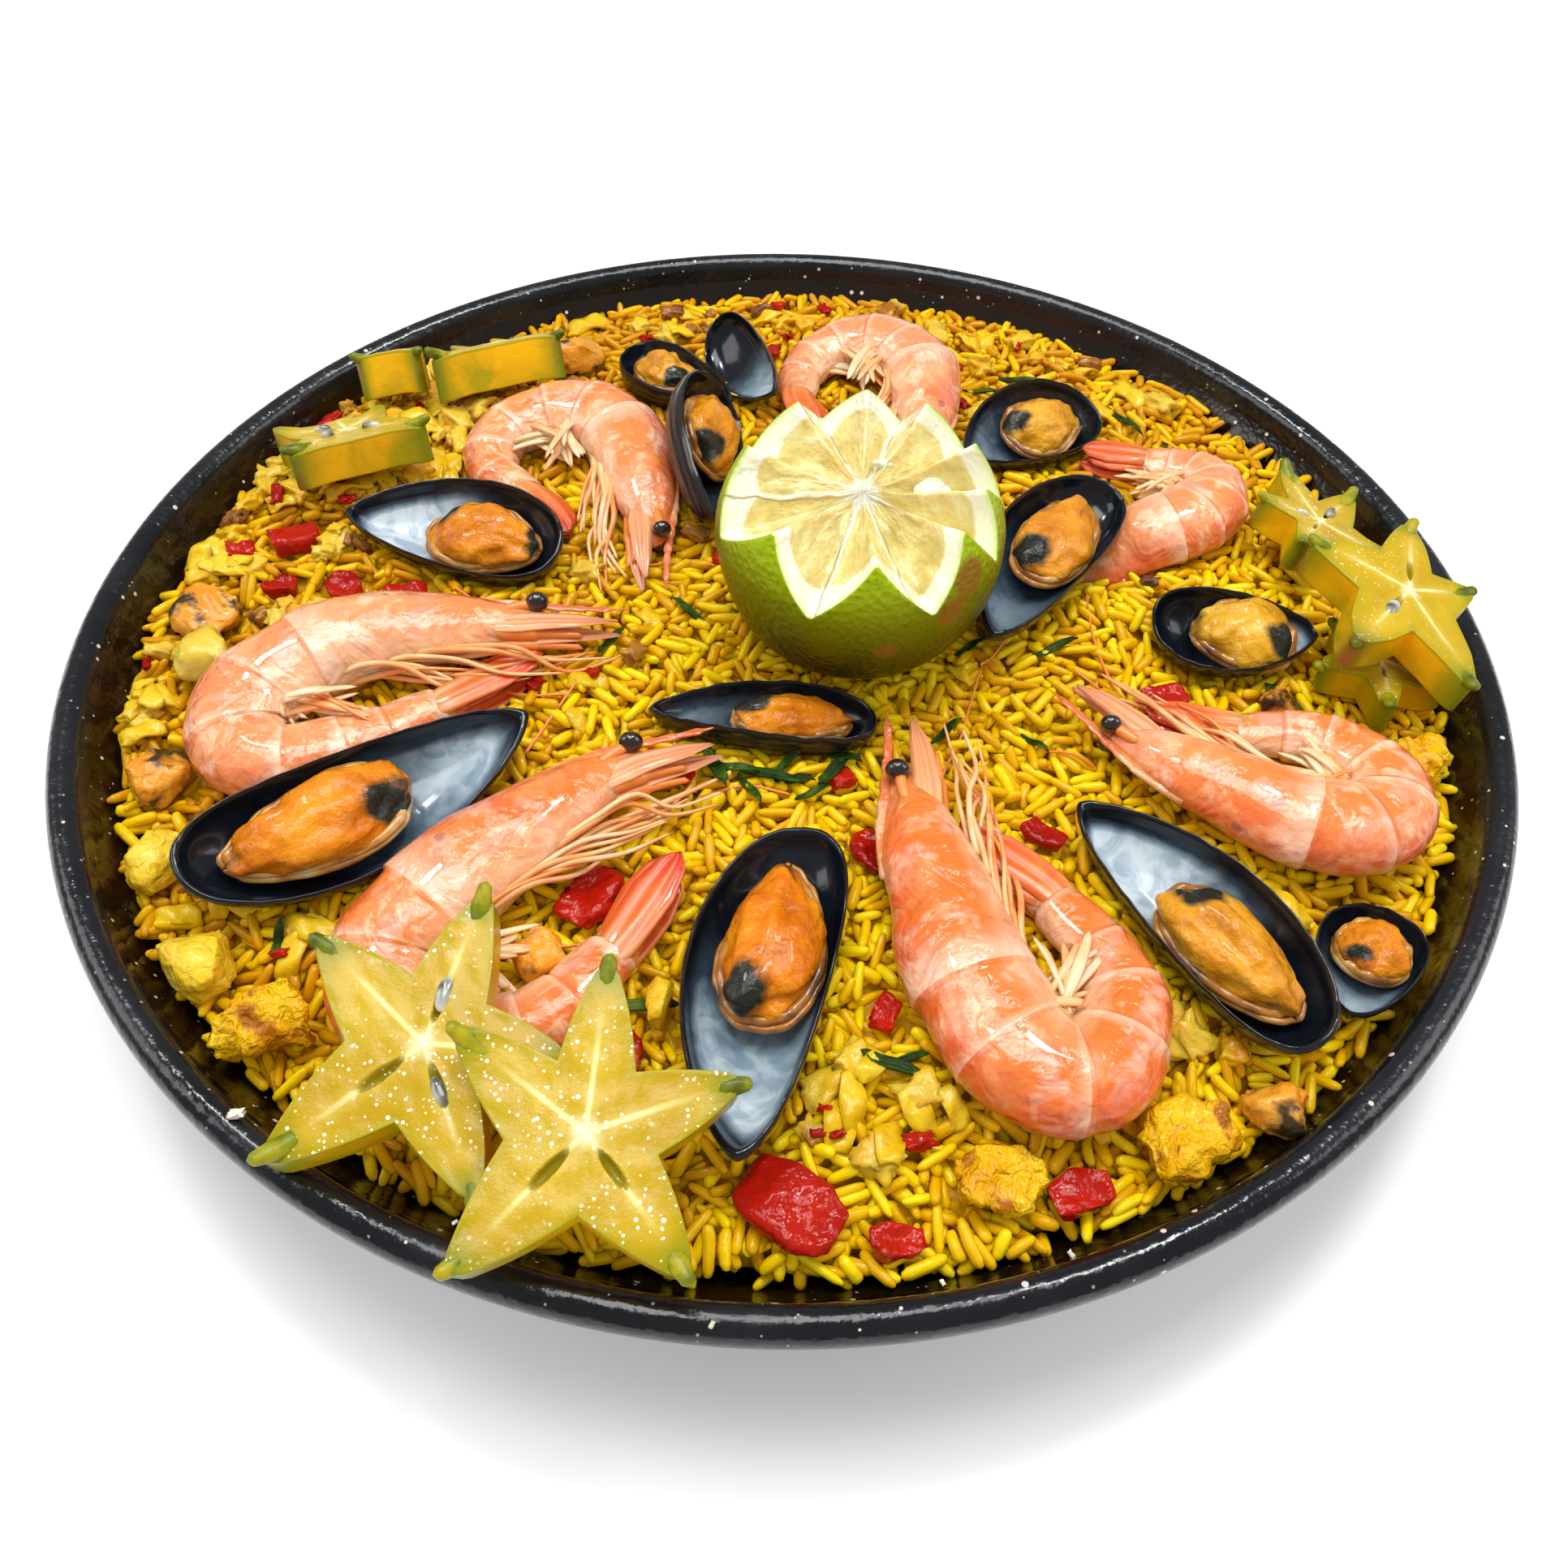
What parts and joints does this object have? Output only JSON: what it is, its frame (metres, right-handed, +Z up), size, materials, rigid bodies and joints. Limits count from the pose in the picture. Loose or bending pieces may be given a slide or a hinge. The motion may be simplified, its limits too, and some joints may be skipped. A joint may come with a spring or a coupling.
{
  "type": "seafood paella in its pan",
  "caption": "Seafood paella served in its round black enamelled pan: yellow rice with prawns, mussels, slices of star fruit, red pepper and a lime crown.",
  "frame": {"origin": "middle of the pan's flat bottom, which rests on the table", "axes": "+Z up out of the pan, along its axis of turning; -Y towards the front of the dish, where the large red pepper lies; +X to the right"},
  "size_m": [0.3198, 0.3198, 0.0845],
  "materials": {
    "enamel": "black vitreous enamel with fine white specks, satin to glossy",
    "rice": null,
    "prawn": null,
    "mussel": null,
    "star_fruit": null,
    "lime": null,
    "meat": null,
    "pepper": null
  },
  "bodies": {
    "root": {"pan": "enamel", "rice": "rice", "lime": "lime", "prawn_back": "prawn", "prawn_upper_left": "prawn", "prawn_left": "prawn", "prawn_lower_left": "prawn", "prawn_front": "prawn", "prawn_right": "prawn", "prawn_upper_right": "prawn", "mussel_back_left": "mussel", "mussel_back_left_lid": "mussel", "mussel_behind_lime": "mussel", "mussel_back_right": "mussel", "mussel_beside_lime": "mussel", "mussel_right": "mussel", "mussel_lower_right": "mussel", "mussel_front": "mussel", "mussel_left": "mussel", "mussel_upper_left": "mussel", "mussel_middle": "mussel", "mussel_small": "mussel", "star_slice_front_left": "star_fruit", "star_slice_front": "star_fruit", "star_slice_right": "star_fruit", "star_slice_right_under": "star_fruit", "star_slice_upper_right": "star_fruit", "star_slice_upper_left": "star_fruit", "star_slice_back_left": "star_fruit", "star_slice_far_left": "star_fruit", "chicken_front_right": "meat", "chicken_front": "meat", "chicken_left": "meat", "chicken_right": "meat", "potato_left": "meat", "potato_left_high": "meat", "squash_middle": "meat", "onion_left": "meat", "mussel_meat_back": "meat", "mussel_meat_left": "meat", "mussel_meat_lower_left": "meat", "mussel_meat_middle": "meat", "mussel_meat_right": "meat", "mussel_meat_lower_right": "meat", "pepper_front": "pepper", "pepper_front_right": "pepper", "pepper_front_mid": "pepper", "pepper_by_prawn": "pepper", "pepper_by_mussel": "pepper", "pepper_right": "pepper", "pepper_curl": "pepper", "pepper_lower_left": "pepper", "pepper_under_star": "pepper", "pepper_upper_left": "pepper", "pepper_left_a": "pepper", "pepper_left_b": "pepper", "pepper_left_c": "pepper"}
  },
  "joints": []
}
